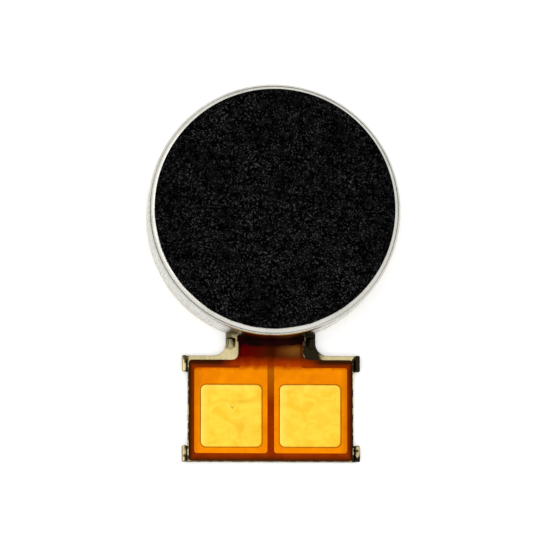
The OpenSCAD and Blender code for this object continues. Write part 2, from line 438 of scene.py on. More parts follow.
class Look(Nodes):
    """A procedural material under construction. Sizes are millimetres on the piece."""

    def __init__(self, name, sockets):
        self.material = bpy.data.materials.new(name)
        self.material.use_nodes = True
        super().__init__(self.material.node_tree)
        self.shader = self.tree.nodes["Principled BSDF"]
        for socket, value in sockets.items():
            self.shader.inputs[socket].default_value = value
        self.place = self.new("ShaderNodeTexCoord").outputs["Object"]
        self.normal = None

    def scaled(self, size, stretch):
        mapping = self.new("ShaderNodeMapping", vector_type="POINT")
        self.feed(mapping.inputs["Vector"], self.place)
        mapping.inputs["Scale"].default_value = [1 / (size * MM * s) for s in stretch]
        return mapping.outputs["Vector"]

    def noise(self, size, detail=3, stretch=(1, 1, 1), distortion=0):
        node = self.new("ShaderNodeTexNoise")
        self.feed(node.inputs["Vector"], self.scaled(size, stretch))
        node.inputs["Scale"].default_value = 1
        node.inputs["Detail"].default_value = detail
        node.inputs["Distortion"].default_value = distortion
        return node.outputs["Fac"]

    def cells(self, size, feature="F1", stretch=(1, 1, 1)):
        node = self.new("ShaderNodeTexVoronoi", feature=feature)
        self.feed(node.inputs["Vector"], self.scaled(size, stretch))
        node.inputs["Scale"].default_value = 1
        return node.outputs["Distance"]

    def painted(self, name):
        """A value that the mesh carries at each of its points."""
        return self.new("ShaderNodeAttribute", attribute_name=name).outputs["Fac"]

    def axis(self, name):
        """One coordinate on the piece, in millimetres."""
        split = self.new("ShaderNodeSeparateXYZ")
        self.feed(split.inputs["Vector"], self.scaled(1, (1, 1, 1)))
        return split.outputs[name]

    def times(self, a, b):
        return self.maths("MULTIPLY", a, b)

    def plus(self, a, b):
        return self.maths("ADD", a, b)

    def larger(self, a, b):
        return self.maths("MAXIMUM", a, b)

    def drift(self, size, detail=3, low=0.0, high=1.0, stretch=(1, 1, 1), distortion=0):
        """Soft noise that runs between two values."""
        return self.remap(self.noise(size, detail, stretch, distortion), 0.3, 0.7, low, high)

    def uneven_place(self, size, distortion, reach):
        """X and Y on the piece, in millimetres, pushed about so that the borders drawn with them wander."""
        wander = self.drift(size, 3, -reach, reach, distortion=distortion)
        return [self.plus(self.axis(name), wander) for name in ("X", "Y")]

    def mix(self, factor, a, b):
        node = self.new("ShaderNodeMix", data_type="RGBA")
        sockets = {0: factor, 6: a, 7: b}
        for index, value in sockets.items():
            self.feed(node.inputs[index], (*value, 1) if isinstance(value, tuple) else value)
        return node.outputs[2]

    def colour(self, value, plain):
        self.feed(self.shader.inputs["Base Color"], value)
        self.shader.inputs["Base Color"].default_value = (*plain, 1)
        self.material.diffuse_color = (*plain, 1)

    def roughness(self, value):
        self.feed(self.shader.inputs["Roughness"], value)

    def bump(self, height, depth):
        node = self.new("ShaderNodeBump")
        node.inputs["Distance"].default_value = depth * MM
        self.feed(node.inputs["Height"], height)
        if self.normal:
            self.feed(node.inputs["Normal"], self.normal)
        self.normal = node.outputs["Normal"]
        self.feed(self.shader.inputs["Normal"], self.normal)


def worked_metal(name, light, dark, rough, grain, grain_size=0.08, tone_size=1.3, grain_depth=0.004):
    """Two tones in soft patches, streaks along the grain and uneven polish."""
    look = Look(name, {"Metallic": 1.0})
    patches = look.noise(tone_size, 4, distortion=0.6)
    streaks = look.noise(grain_size, 3, grain)
    scuffs = look.noise(0.35, 5, distortion=1.0)
    mixed = look.times(look.remap(patches, 0.35, 0.7), look.remap(streaks, 0.3, 0.7, 0.4, 1.0))
    look.tone = look.mix(mixed, light, dark)
    look.streaks = streaks
    look.colour(look.tone, light)
    polish = look.remap(scuffs, 0.35, 0.7, *rough)
    look.roughness(look.plus(polish, look.remap(streaks, 0.3, 0.7, 0, 0.08)))
    look.bump(streaks, grain_depth)
    look.bump(look.noise(0.02, 2), grain_depth / 3)
    return look


def can_look():
    """Nickel-plated can: bright rolled rim, a wall darkened by painted shade and streaked from drawing, and a
    painted reflection of the dark neck on the wall over the neck.
    """
    light = (0.59, 0.58, 0.53)
    shaded_wall_grey = (0.40, 0.39, 0.335)
    reflected_neck_maroon = (0.030, 0.004, 0.003)
    reflection_start_y, reflection_full_y = -4.60, -4.74
    look = worked_metal("can_steel", light, (0.44, 0.43, 0.385), (0.13, 0.24), (1, 1, 14))
    # Painted shade: below the rim the wall is mixed toward a darker grey, along the drawing streaks.
    wall = look.remap(look.axis("Z"), case_top - RIM_R, case_top - RIM_R / 3, 1, 0)
    drawn = look.times(wall, look.remap(look.streaks, 0.38, 0.62, 0.3, 1.0))
    tone = look.mix(drawn, look.tone, shaded_wall_grey)
    # Painted reflection: the wall over the neck is mixed toward the dark maroon of the neck's film.
    neck_reflection = look.times(wall, look.remap(look.axis("Y"), reflection_start_y, reflection_full_y, 0, 0.95))
    look.colour(look.mix(neck_reflection, tone, reflected_neck_maroon), light)
    return look.material


def bracket_look():
    """Stamped steel with painted shade on the neck's lips, the ears and the tail's front edge."""
    light = (0.56, 0.475, 0.255)
    # Near black of the painted shade
    shade_black = (0.016, 0.012, 0.006)
    look = worked_metal("bracket_steel", light, (0.31, 0.255, 0.125), (0.20, 0.34), (1, 10, 1))
    x, y = look.uneven_place(0.25, 0.4, 0.09)
    blotches = look.noise(0.28, 2)
    lip_x = SLOT_W / 2
    neck_y = tail_start_y
    ear_x = TAIL_W / 2
    front_y = tail_end_y

    def across(start, end, *to):
        return look.remap(x, start, end, *to)

    def along(start, end, *to):
        return look.remap(y, neck_y + start, neck_y + end, *to)

    beside_slot = look.times(across(lip_x - 0.08, lip_x + 0.02), across(lip_x + 0.85, lip_x + 0.65))
    # Painted shade: the steel goes near black where both masks of a pair are high.
    painted_shades = [
        # The right lip and the plate below it
        (beside_slot, along(-0.34, -0.24)),
        # The left lip, fainter
        (across(-lip_x - 0.12, -lip_x - 0.24, 0, 0.7), along(0.2, 0.6)),
        # Both right ears in blotches, the upper one all over, and the bends at their roots
        (across(ear_x - 0.04, ear_x + 0.05), look.remap(blotches, 0.50, 0.62, 1, 0.1)),
        (across(ear_x - 0.06, ear_x), along(-0.75, -0.65)),
        (across(ear_x - 0.06, ear_x), across(ear_x + 0.16, ear_x + 0.08)),
        # The bends of the left ears
        (across(-ear_x - 0.17, -ear_x - 0.11, 0, 0.9), across(-ear_x + 0.06, -ear_x)),
        # The front edge
        (
            look.remap(look.axis("Y"), front_y + 0.05, front_y + 0.02),
            look.remap(blotches, 0.4, 0.6, 0.9, 0.5),
        ),
    ]
    painted_shade = 0.0
    for one_way, other_way in painted_shades:
        painted_shade = look.larger(look.times(one_way, other_way), painted_shade)
    painted_shade = look.times(painted_shade, along(1.05, 0.90))
    # Painted shade mixed over the steel's tone
    look.colour(look.mix(painted_shade, look.tone, shade_black), light)
    return look.material


def metal_look(*settings, **more):
    return worked_metal(*settings, **more).material


def plastic_look(name, light, dark, rough, size, specular=0.3, depth=0.004, extra=None):
    """Moulded or rolled plastic: slow change of tone, fine grain and uneven gloss."""
    look = Look(name, {"Specular IOR Level": specular, **(extra or {})})
    look.colour(look.mix(look.remap(look.noise(size * 6, 4), 0.35, 0.65), light, dark), light)
    look.roughness(look.drift(size * 3, 4, *rough, distortion=0.5))
    look.bump(look.noise(size, 4), depth)
    return look.material


def foam_look():
    """Near-black closed-cell foam: tiny pale specks of painted glint, thicker in some places than in others.
    """
    black, glint_grey, mean_grey = (0.0005, 0.0005, 0.0007), (0.058, 0.058, 0.058), (0.006, 0.006, 0.0065)
    look = Look("foam", {"Specular IOR Level": 0.0})
    # Painted glints: pale specks in the base colour, in place of glints off the cells.
    specks = look.remap(look.noise(0.065, 2), 0.55, 0.74)
    density = look.remap(look.noise(1.6, 3), 0.35, 0.65, 0.35, 1)
    smudges = look.remap(look.noise(0.3, 3), 0.45, 0.7, 0, 0.07)
    tone = look.plus(look.times(specks, density), smudges)
    look.colour(look.mix(tone, black, glint_grey), mean_grey)
    look.roughness(look.remap(tone, 0, 1, 0.95, 0.7))
    look.bump(look.cells(0.06), 0.010)
    look.bump(look.noise(0.025, 3), 0.005)
    return look.material


def gold_look(name):
    """Matt electroplated gold: soft mottle over rolled copper. The mesh's "tone" adds painted highlight where
    it is above zero and deepens the pad's marks where it is below.
    """
    pale, marked, mean = (0.88, 0.60, 0.105), (0.24, 0.14, 0.012), (0.82, 0.50, 0.04)
    look = Look(name, {"Metallic": 1.0})
    mottle = look.noise(0.5, 4, distortion=0.8)
    wear = look.noise(0.12, 4, (6, 1, 1))
    shift = look.plus(look.remap(mottle, 0.36, 0.64, 0, 0.8), look.remap(wear, 0.5, 0.75, 0, 0.35))
    plain = look.mix(shift, (0.85, 0.565, 0.054), (0.77, 0.455, 0.024))
    tone = look.painted("tone")
    # Painted highlight where the tone is above zero
    paler = look.mix(look.remap(tone, 0, 1), plain, pale)
    look.colour(look.mix(look.remap(tone, 0, -1), paler, marked), mean)
    look.roughness(look.remap(mottle, 0.3, 0.7, 0.34, 0.46))
    look.bump(look.noise(0.03, 3, (1, 5, 1)), 0.0015)
    look.bump(look.noise(0.3, 2), 0.003)
    return look.material


def neck_shade(look, tail_colour):
    """Painted shade that deepens up the neck toward the can, for the can's shadow and the dark slot.

    The painted shade is redder on the left, and a tan patch on the right is a painted glint.
    """
    red, brown = (0.100, 0.0012, 0.0008), (0.060, 0.0075, 0.0008)
    tan, deep_orange, near_black = (0.22, 0.080, 0.012), (0.36, 0.034, 0.001), (0.016, 0.0006, 0.0006)
    neck_y = tail_start_y
    x, y = look.uneven_place(0.3, 0.5, 0.045)
    # Painted shade of the can over the neck, redder on the left
    neck_shadow = look.mix(look.remap(x, -0.9, -0.1), red, brown)
    # Painted glint: a tan patch on the right
    tan_glint = look.times(look.remap(x, 0.15, 0.85), look.remap(x, 1.35, 1.10))
    tan_glint = look.times(tan_glint, look.remap(y, neck_y - 0.16, neck_y + 0.18, 0, 0.8))
    neck_shadow = look.mix(tan_glint, neck_shadow, tan)
    shade = look.mix(look.remap(y, neck_y - 0.60, neck_y - 0.40), tail_colour, deep_orange)
    shade = look.mix(look.remap(y, neck_y - 0.38, neck_y - 0.02), shade, neck_shadow)
    # Painted shade of the slot: near black next to the can
    return look.mix(look.remap(y, neck_y + 0.26, neck_y + 0.50), shade, near_black)


def cover_over_copper_look():
    """Amber film pressed on copper, which shines through it in orange and deeper toward the tail's sides."""
    orange, deeper, side_orange = (0.80, 0.238, 0.0010), (0.68, 0.175, 0.0008), (0.46, 0.12, 0.001)
    look = Look("cover_film_on_copper", {"Metallic": 0.85, "Specular IOR Level": 0.0})
    tail = look.mix(look.drift(0.8, 3, distortion=0.4), orange, deeper)
    from_middle = look.maths("ABSOLUTE", look.axis("X"), 0)
    beside = look.remap(from_middle, copper_high.x - 0.3, copper_high.x, 0, 0.6)
    look.colour(neck_shade(look, look.mix(beside, tail, side_orange)), (0.74, 0.20, 0.001))
    look.roughness(look.drift(0.25, 4, 0.38, 0.52))
    look.bump(look.noise(0.5, 2), 0.004)
    look.bump(look.noise(0.04, 3, (1, 4, 1)), 0.0012)
    return look.material


def cover_over_film_look(name, light, dark):
    """Amber film on film: nearly black along the tail's edges, paler at the gap's top."""
    pale_amber, edge_black = (0.46, 0.115, 0.001), (0.022, 0.008, 0.002)
    look = Look(name, {"Specular IOR Level": 0.0})
    tail = look.mix(look.drift(0.5, 3, distortion=0.5), light, dark)
    from_middle = look.maths("ABSOLUTE", look.axis("X"), 0)
    in_gap = look.remap(from_middle, 0.2, 0.5, 1, 0)
    upper = look.times(in_gap, look.remap(look.axis("Y"), tail_start_y - 1.9, tail_start_y - 0.7))
    tail = look.mix(upper, tail, pale_amber)
    side = look.remap(from_middle, copper_high.x, copper_high.x + 0.19, 0.08, 0.97)
    foot = look.remap(look.axis("Y"), copper_low.y - 0.06, tail_end_y + 0.06, 0, 0.93)
    top = look.remap(look.axis("Y"), copper_start_y, copper_start_y + 0.20, 0.15, 0.94)
    top = look.times(top, look.remap(from_middle, 1.45, 2.0))
    edges = look.larger(look.larger(side, foot), top)
    look.colour(look.mix(edges, neck_shade(look, tail), edge_black), light)
    look.roughness(look.drift(0.2, 4, 0.3, 0.45))
    look.bump(look.noise(0.08, 3), 0.002)
    return look.material


def board_look():
    """Glass-fibre laminate under green resist: a faint weave, slightly glossy."""
    look = Look("laminate", {"Specular IOR Level": 0.4})
    waves = [look.new("ShaderNodeTexWave", bands_direction=way) for way in ("X", "Y")]
    for wave in waves:
        look.feed(wave.inputs["Vector"], look.scaled(0.35, (1, 1, 1)))
        wave.inputs["Scale"].default_value = 1
        wave.inputs["Distortion"].default_value = 0.6
    weave = look.times(waves[0].outputs["Fac"], waves[1].outputs["Fac"])
    tone = look.plus(look.remap(weave, 0, 1, 0, 0.5), look.drift(0.9, 3, 0, 0.5))
    look.colour(look.mix(tone, (0.012, 0.13, 0.045), (0.02, 0.21, 0.075)), (0.015, 0.16, 0.055))
    look.roughness(look.drift(0.3, 4, 0.25, 0.42))
    look.bump(weave, 0.004)
    return look.material


def winding_look():
    """Enamelled copper wire: each turn a little lighter or redder than the next."""
    look = Look("winding", {"Metallic": 0.9, "Coat Weight": 0.5, "Coat Roughness": 0.2})
    turns = look.drift(0.09, 2, stretch=(1, 1, 0.4))
    look.colour(look.mix(turns, (0.82, 0.28, 0.10), (0.50, 0.13, 0.045)), (0.70, 0.22, 0.08))
    look.roughness(look.drift(0.2, 3, 0.22, 0.38))
    look.bump(look.noise(0.03, 2), 0.003)
    return look.material


def grained_look(name, light, dark, rough, pore, metallic=1.0, depth=0.01):
    """Sintered or cast surface: dark pores between lighter grains."""
    look = Look(name, {"Metallic": metallic, "Specular IOR Level": 0.3})
    between_pores = look.remap(look.cells(pore), 0.05, 0.5)
    pores = look.times(between_pores, look.remap(look.noise(pore * 4), 0.3, 0.6))
    look.colour(look.mix(pores, dark, light), light)
    look.roughness(look.drift(pore * 2, 4, *rough))
    look.bump(look.cells(pore), depth)
    look.bump(look.noise(pore * 8, 3), depth * 2)
    return look.material


looks = {
    "can": can_look(),
    "bracket": bracket_look(),
    "shaft": metal_look(
        "shaft_steel", (0.80, 0.80, 0.82), (0.62, 0.62, 0.64), (0.10, 0.18), (8, 8, 0.5), 0.05
    ),
    "foam": foam_look(),
    "tape": plastic_look("tape", (0.74, 0.70, 0.58), (0.55, 0.50, 0.38), (0.45, 0.7), 0.08, 0.4),
    "base_film": plastic_look(
        "base_film", (0.16, 0.030, 0.003), (0.08, 0.012, 0.002), (0.3, 0.45), 0.06, 0.2
    ),
    "cover_copper": cover_over_copper_look(),
    "cover_film": cover_over_film_look("cover_film", (0.32, 0.033, 0.0004), (0.23, 0.020, 0.0003)),
    # Window walls: darker orange, partly the film's cut edge and partly painted shade
    "cover_edge": cover_over_film_look("cover_film_edge", (0.60, 0.20, 0.002), (0.48, 0.12, 0.001)),
    "copper": metal_look(
        "copper_foil", (0.93, 0.46, 0.22), (0.70, 0.28, 0.12), (0.25, 0.4), (1, 8, 1), 0.05
    ),
    "gold": gold_look("pad_gold"),
    # Near black: partly the resin's own colour and partly painted shade of the slot and the bead below it
    "resin": plastic_look(
        "seal_resin", (0.018, 0.0008, 0.0008), (0.004, 0.0004, 0.0004), (0.3, 0.45), 0.1, 0.015
    ),
    "magnet": grained_look(
        "magnet_plate", (0.62, 0.61, 0.58), (0.44, 0.43, 0.41), (0.28, 0.45), 0.05, depth=0.004
    ),
    "solder": metal_look(
        "solder", (0.80, 0.80, 0.81), (0.58, 0.58, 0.60), (0.15, 0.35), (1, 1, 1), 0.05, 0.3
    ),
    "brush": metal_look(
        "brush_alloy", (0.92, 0.72, 0.42), (0.72, 0.50, 0.25), (0.2, 0.34), (1, 9, 1), 0.03, 0.4
    ),
    "washer": plastic_look("washer_film", (0.86, 0.86, 0.82), (0.74, 0.73, 0.68), (0.3, 0.5), 0.05, 0.4),
    "bronze": grained_look("sintered_bronze", (0.74, 0.47, 0.24), (0.22, 0.12, 0.05), (0.35, 0.55), 0.05),
    "board": board_look(),
    "winding": winding_look(),
    "tungsten": grained_look(
        "tungsten_alloy", (0.52, 0.51, 0.50), (0.30, 0.29, 0.29), (0.35, 0.5), 0.04, depth=0.006
    ),
    "moulding": plastic_look(
        "moulding_resin", (0.020, 0.020, 0.024), (0.036, 0.036, 0.040), (0.45, 0.65), 0.05, 0.4, 0.008
    ),
}


# ---- Can, foam and its tape ----


def can():
    """Drawn can: rounded rim, flat top, boss for the shaft inside and a slot for the circuit."""
    edge = 0.02
    outside = [(case_r - edge, case_low.z), (case_r, case_low.z + edge)]
    outside += [(case_r - RIM_R + p.x, case_top - RIM_R + p.y) for p in arc(RIM_R, 0, 90, 14)]
    inside = [(0, case_top), (0, ceiling_z), (shaft_r, ceiling_z), (shaft_r, ceiling_z - BOSS_H)]
    inside += [(BOSS_R - edge, ceiling_z - BOSS_H), (BOSS_R, ceiling_z - BOSS_H + edge), (BOSS_R, ceiling_z)]
    inner_rim = RIM_R - sheet_t
    bend = reversed(arc(inner_rim, 0, 90, 5))
    inside += [(case_inner_r - inner_rim + p.x, ceiling_z - inner_rim + p.y) for p in bend]
    inside += [(case_inner_r, case_low.z + edge), (case_inner_r + edge, case_low.z)]
    shell = bmesh.new()
    lathe(shell, outside + inside, 256)
    slot = box_solid((-SLOT_W / 2, -case_r - 1, 0), (SLOT_W / 2, -case_r + 1, SLOT_TOP_Z))
    shell = tidied(boolean(shell, slot, "DIFFERENCE"))
    piece("can_shell", shell, ["can"], "case", sharp=30)


def wavy_circle(r, depth, pace):
    """Circle whose edge wanders inward, as that of a cut tape or of a squeezed-out bond does."""
    return [p * (1 - depth * (1 + noise.noise(Vector((p.x, p.y, 0)) * pace))) for p in circle(r)]


def foam_tape():
    low, high = extent("foam_adhesive")
    bm = bmesh.new()
    plate(bm, wavy_circle(high.x, 0.004, 2), [], low.z, high.z, 0.01)
    piece("foam_tape", bm, ["tape"], "foam_adhesive")


def foam_cushion():
    """Die-cut foam disc, slightly crowned, pitted by its cells and rounded at its cut edge."""
    low, high = extent("foam_pad")
    r = high.x
    edge_r = 0.06
    cell_size = 0.17
    pit_depth = 0.035
    grid_step = 0.055
    side_levels = (0.08, 0.25, 0.45, 0.65, 0.85, 1)

    def pit(x, y, z):
        nearest = noise.voronoi(Vector((x, y, z)) / cell_size)[0][0]
        strength = 0.5 + 0.5 * noise.noise(Vector((x, y, z)) * 2.3)
        return strength * max(0, 1 - nearest / 0.45)

    def height(x, y, depth):
        roll = edge_r - math.sqrt(max(edge_r**2 - max(edge_r - depth, 0) ** 2, 0))
        slow = 0.006 * (1 + noise.noise(Vector((x, y, 4)) * 0.9))
        return high.z - roll - slow - pit_depth * pit(x, y, high.z)

    def push(x, y, z):
        shrink = 1 - (0.012 + 0.03 * pit(x, y, z * 2)) / r
        return x * shrink, y * shrink

    bm = bmesh.new()
    grid_pad(bm, rounded_grid(2 * r, 2 * r, r, grid_step), (0, 0), low.z, height, side_levels, push)
    cushion = piece("foam_cushion", bm, ["foam"], "foam_pad", sharp=80)


# ---- Bracket and shaft ----


def bracket():
    """Stamped plate with a drawn collar, ears bent up at the tail's corners and lips along the neck."""
    low, high = extent("bracket")
    edge = 0.03
    corner_r = 0.03
    half_neck = NECK_W / 2
    meet = math.degrees(math.acos(half_neck / case_r))
    outline = [(p.x, p.y, 0) for p in arc(case_r, -meet, 180 + meet)]
    outline += [(-half_neck, tail_start_y, NECK_FILLET_R), (-TAIL_W / 2, tail_start_y, corner_r)]
    outline += [(-TAIL_W / 2, tail_end_y, corner_r), (TAIL_W / 2, tail_end_y, corner_r)]
    outline += [(TAIL_W / 2, tail_start_y, corner_r), (half_neck, tail_start_y, NECK_FILLET_R)]
    body = bmesh.new()
    plate(body, rounded_loop(outline, 8), [circle(shaft_r)], low.z, sheet_t, edge)
    raised = bmesh.new()
    root_z = low.z + 0.05
    fillet_r = 0.08
    collar_top = extent("lower_washer")[0].z - 0.02
    turns = [math.radians(22.5 * k) for k in range(5)]
    skirt = [(COLLAR_R + fillet_r * (1 - math.sin(a)), sheet_t + fillet_r * (1 - math.cos(a))) for a in turns]
    collar = [(shaft_r, root_z), (COLLAR_R, root_z), (COLLAR_R + fillet_r, sheet_t - 0.01)] + skirt
    collar += [(COLLAR_R, collar_top - edge), (COLLAR_R - edge, collar_top), (shaft_r, collar_top)]
    lathe(raised, collar, 96)
    for side in (LEFT, RIGHT):
        neck_lip(raised, side)
        for y in (tail_end_y, tail_start_y - EAR_L):
            ear(raised, side, y, high.z)
    stamping = tidied(boolean(body, raised, "UNION"))
    piece("bracket_stamping", stamping, ["bracket"], "bracket", sharp=32)


def ear(bm, side, y, top):
    """One ear: the plate's sheet turned up through a bend."""
    x = TAIL_W / 2
    root_x, seam_x = x - 0.15, x - 0.03
    root_inset, seam_inset = 0.02, 0.002
    tip_r = 0.095
    outer_r = BEND_INNER_R + sheet_t
    outer = [(x + p.x, outer_r + p.y, 0) for p in arc(outer_r, -90, 0, 8)]
    inner = [(x + p.x, outer_r + p.y, 0) for p in arc(BEND_INNER_R, 0, -90, 6)]
    profile = [(root_x, root_inset, 0), (seam_x, seam_inset, 0), *outer, (x + outer_r, top, tip_r)]
    profile += [(x + BEND_INNER_R, top, tip_r), *inner]
    profile += [(seam_x, sheet_t - seam_inset, 0), (root_x, sheet_t - root_inset, 0)]
    loop = [Vector((p.x * side, p.y)) for p in rounded_loop(profile, 4)]
    extruded_y(bm, loop if side == RIGHT else loop[::-1], y + EAR_SET_BACK, y + EAR_L - EAR_SET_BACK, 0.03)


def neck_lip(bm, side):
    """Rounded ridge pressed up along one edge of the neck; it widens with the neck's fillet."""
    inner_x = SLOT_W / 2 + 0.02
    high_y = -math.sqrt(case_r**2 - inner_x**2) - 0.05
    low_y = tail_start_y + LIP_TO_TAIL
    root_z = sheet_t - 0.1
    skin_z = sheet_t - 0.01
    end_rise = 0.012
    steps, arch_steps = 30, 16
    high_run, low_run = 4, 14
    rings = []
    for k in range(steps + 1):
        y = high_y + (low_y - high_y) * k / steps
        into_fillet = max(0, tail_start_y + NECK_FILLET_R - y)
        edge_x = NECK_W / 2 + NECK_FILLET_R - math.sqrt(NECK_FILLET_R**2 - into_fillet**2) - 0.003
        from_end = min(1, k / high_run, (steps - k) / low_run)
        rise = end_rise + LIP_H * math.sin(math.pi / 2 * from_end) ** 2
        loop = [(inner_x, root_z), (edge_x, root_z)]
        for j in range(arch_steps + 1):
            across = j / arch_steps
            swell = math.sin(math.pi * across**0.8) ** 1.6 if 0 < j < arch_steps else 0
            loop.append((edge_x + (inner_x - edge_x) * across, skin_z + rise * swell))
        rings.append([bm.verts.new((side * x, y, z)) for x, z in loop])
    capped(bm, rings)


def shaft():
    low, high = extent("shaft")
    chamfer = 0.06
    bottom = [(0, low.z), (shaft_r - chamfer, low.z), (shaft_r, low.z + chamfer)]
    top = [(shaft_r, high.z - chamfer), (shaft_r - chamfer, high.z), (0, high.z)]
    bm = bmesh.new()
    lathe(bm, bottom + top, 96)
    piece("fixed_shaft", bm, ["shaft"], "shaft")


# ---- Flexible circuit ----


def circuit_outline():
    """Disc in the can, strip through the slot and the tail's rectangle."""
    half_strip = STRIP_W / 2
    meet = math.degrees(math.acos(half_strip / CIRCUIT_DISC_R))
    side = TAIL_W / 2 - CIRCUIT_INSET
    low = tail_end_y + CIRCUIT_INSET
    top = tail_start_y - CIRCUIT_TOP_INSET
    corners = [(p.x, p.y, 0) for p in arc(CIRCUIT_DISC_R, -meet, 180 + meet)]
    corners += [(-half_strip, top, CIRCUIT_FILLET_R), (-side, top, CIRCUIT_CORNER_R)]
    corners += [(-side, low, CIRCUIT_CORNER_R), (side, low, CIRCUIT_CORNER_R)]
    corners += [(side, top, CIRCUIT_CORNER_R), (half_strip, top, CIRCUIT_FILLET_R)]
    return rounded_loop(corners)


def copper_outline():
    """Right conductor: area on the tail, trace along the strip and the brush's land."""
    land = extent("brush_solder")[1]
    r = COPPER_CORNER_R
    gap_x = copper_low.x
    land_x, land_low_y, land_middle_y = land.x - LAND_W, land.y - LAND_L, land.y - LAND_L / 2
    land_r = 0.05
    corners = [(gap_x, copper_low.y, r), (copper_high.x, copper_low.y, r), (copper_high.x, copper_start_y, r)]
    corners += [(TRACE_OUTER_X, copper_start_y, 0.1), (TRACE_OUTER_X, land_low_y, 0)]
    corners += [(land.x, land_low_y, land_r), (land.x, land.y, land_r), (land_x, land.y, land_r)]
    corners += [(land_x, land_middle_y, 0), (gap_x, land_middle_y, land_r)]
    return rounded_loop(corners)


def pad_outline():
    low, high = extent("contact_pad_right")
    return rectangle(low.x, low.y, high.x, high.y, PAD_CORNER_R)


def land_outline():
    land = extent("brush_solder")[1]
    return rectangle(land.x - LAND_W, land.y - LAND_L, land.x, land.y, 0.04)


def both_sides(loop):
    return [loop, mirrored(loop)]


def circuit_layer(name, look, node, inset):
    low, high = extent(node)
    bm = bmesh.new()
    outline = offset(circuit_outline(), -inset)
    plate(bm, outline, [circle(CIRCUIT_HOLE_R + inset)], low.z, high.z, 0.005, 2)
    piece(name, bm, [look], node)


def cover_film():
    """Cover film that is pressed down around the conductors and open over the pads and the brushes' lands."""
    film, copper, edge = 0, 1, 2
    low, high = extent("fpc_coverlay")
    valley = high.z - 0.018
    roll = 0.006
    bm = bmesh.new()
    sides = []
    for loop, outward in ((circuit_outline(), 1), (circle(CIRCUIT_HOLE_R), -1)):
        rings = [ring(bm, loop, low.z), ring(bm, loop, valley - roll)]
        rings.append(ring(bm, offset(loop, -outward * roll), valley))
        stack(bm, rings, film)
        sides.append(rings)
    relief = [(0.07, valley), (0.05, valley + 0.002), (0.03, high.z - 0.006), (0.01, high.z - 0.001)]
    relief += [(-0.01, high.z)]
    window_wall = [(0, copper_high.z), (0.004, high.z - 0.006), (0.018, high.z), (0.05, high.z)]
    openings_of_sides = zip(both_sides(pad_outline()), both_sides(land_outline()))
    feet, pockets = [], []
    for conductor_loop, windows in zip(both_sides(copper_outline()), openings_of_sides):
        slope = [ring(bm, offset(conductor_loop, distance), z) for distance, z in relief]
        stack(bm, slope[:4], film)
        stack(bm, slope[3:], copper)
        pocket = [ring(bm, conductor_loop, z) for z in (low.z, copper_high.z)]
        stack(bm, pocket, film)
        walls = []
        for window in windows:
            wall = [ring(bm, offset(window, grow), z) for grow, z in window_wall]
            stack(bm, wall, edge)
            walls.append(wall)
        fill(bm, [pocket[1]] + [wall[0] for wall in walls], film)
        fill(bm, [slope[-1]] + [wall[-1] for wall in walls], copper)
        feet.append(slope[0])
        pockets.append(pocket[0])
    fill(bm, [sides[0][0], sides[1][0]] + pockets, film)
    fill(bm, [sides[0][-1], sides[1][-1]] + feet, film)
    piece("cover_film", bm, ["cover_film", "cover_copper", "cover_edge"], "fpc_coverlay")


def conductor(side, name, node):
    low, high = extent(node)
    bm = bmesh.new()
    loop = offset(copper_outline(), -0.002)
    plate(bm, loop if side == RIGHT else mirrored(loop), [], low.z, high.z - 0.0005, 0.004, 2)
    piece(name, bm, ["copper"], node)


def contact_pad(side, name, node, dent=None):
    """Plated pad with a soft roll at its edge, and painted highlight along its left and upper edges.

    A dent is the place of a small V-shaped nick and of the scratch beside it, from the pad's centre.
    """
    low, high = extent(node)
    size = high - low
    centre = (low + high) / 2

    def mark(x, y):
        if not dent:
            return 0
        across, up = x - dent[0], y - dent[1]
        nick = 0.75 * max(0, 1 - abs(up - abs(across)) / 0.07) * max(0, 1 - abs(across) / 0.12) ** 0.6
        scratch = 0.26 * max(0, 1 - abs(up - 0.27) / 0.13) * max(0, 1 - abs(across - 0.45) / 0.85)
        haze = 0.14 * max(0, 1 - math.hypot(across - 0.5, up + 0.8) / 0.8)
        return max(nick, scratch, haze)

    def height(x, y, depth):
        z = high.z - 0.0015 * (1 + noise.noise(Vector((x, y, side)) * 2.2))
        z -= 0.008 * max(0, 1 - depth / 0.06) ** 2
        return z - 0.008 * mark(x, y)

    def tone(x, y):
        # Painted highlight along the left and upper edges, less the marks
        pale = max(0, 1 - (x + size.x / 2) / 0.32) + 0.6 * max(0, 1 - (size.y / 2 - y) / 0.28)
        return min(pale, 1) * 0.8 - mark(x, y)

    bm = bmesh.new()
    grid = rounded_grid(size.x - 0.004, size.y - 0.004, PAD_CORNER_R, 0.025)
    grid_pad(bm, grid, centre.xy, low.z, height, (1,), upright)
    layer = bm.verts.layers.float.new("tone")
    for vertex in bm.verts:
        vertex[layer] = tone(vertex.co.x - centre.x, vertex.co.y - centre.y)
    piece(name, bm, ["gold"], node, sharp=60)


